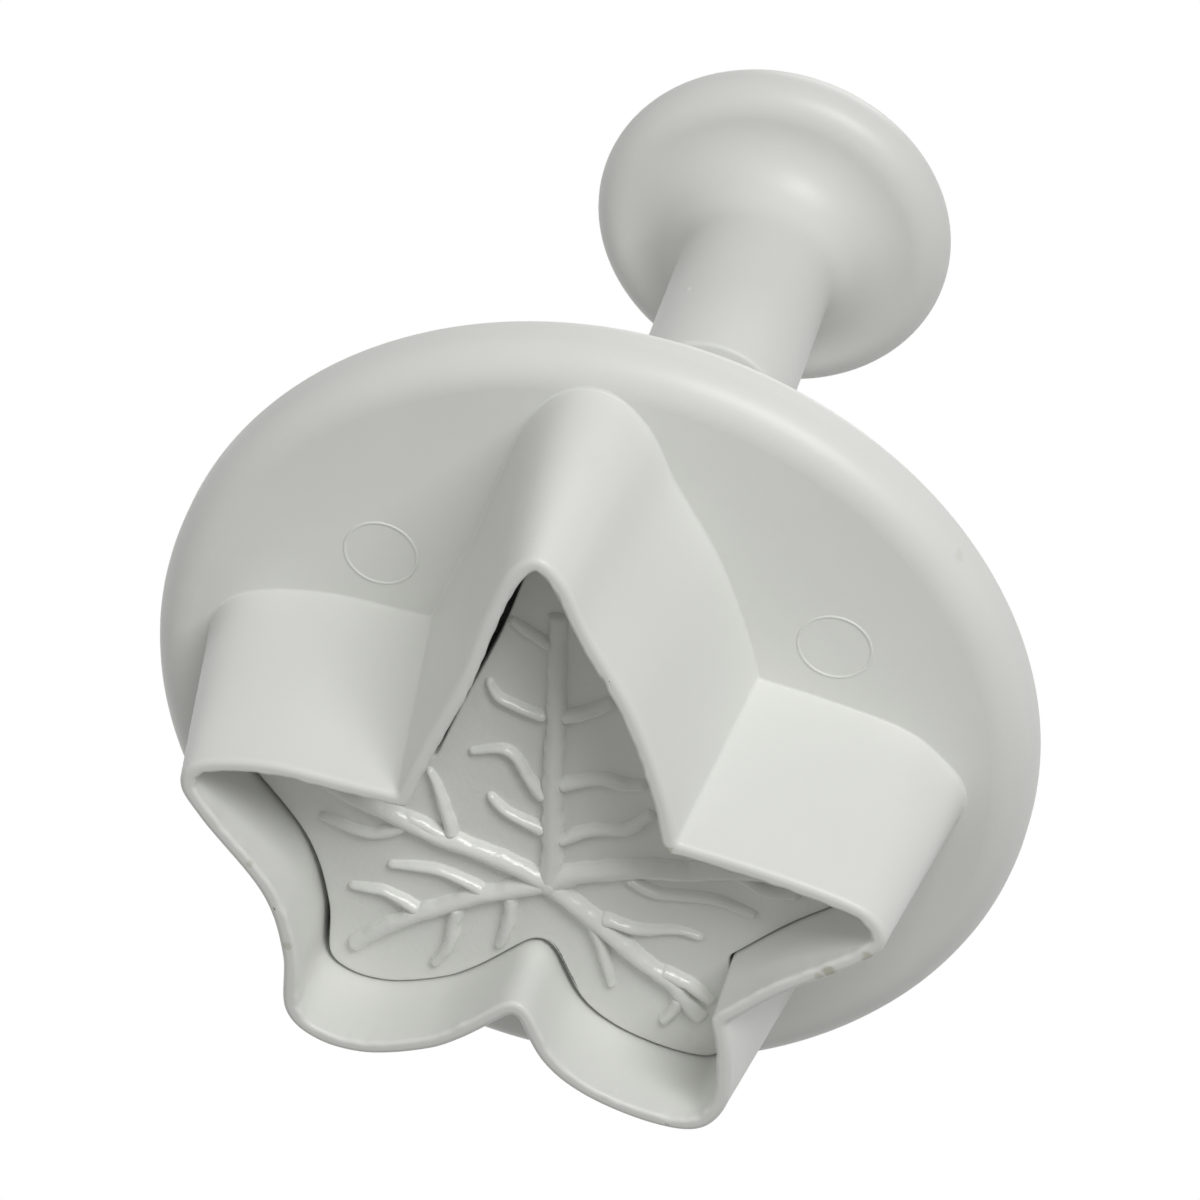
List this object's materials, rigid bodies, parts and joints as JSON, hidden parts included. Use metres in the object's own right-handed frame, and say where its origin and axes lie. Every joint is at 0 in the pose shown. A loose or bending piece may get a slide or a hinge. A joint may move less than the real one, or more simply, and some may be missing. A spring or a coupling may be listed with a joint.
{
  "type": "leaf plunger cutter",
  "caption": "Sprung plunger cutter: a hollow leaf-shaped blade on a round finger plate, with a veined plate inside that a mushroom knob presses down.",
  "frame": {"origin": "on the table, on the plunger's axis, in the plane of the blade's edge", "axes": "+Z along the plunger's axis, from the blade's edge to the knob; +Y towards the tip of the leaf's top lobe"},
  "size_m": [0.052, 0.052, 0.0689],
  "materials": {
    "body_plastic": "satin moulded ABS, warm white",
    "plunger_plastic": "satin moulded ABS, warm white",
    "rod_plastic": "satin moulded ABS, warm white",
    "spring_steel": "drawn stainless spring wire",
    "plate_plastic": "moulded ABS, semi-gloss on the veins"
  },
  "bodies": {
    "body": {"cutter_body": "body_plastic", "return_spring": "spring_steel"},
    "plunger": {"plunger_knob": "plunger_plastic", "push_rod": "rod_plastic", "embossing_plate": "plate_plastic"}
  },
  "joints": [
    {"name": "plunger_slide", "type": "slide", "parent": "body", "child": "plunger", "axis": [0, 0, -1], "range_m": [0, 0.006], "stiffness_N_per_m": 450, "springref_m": -0.006, "deforming": ["return_spring"]}
  ]
}
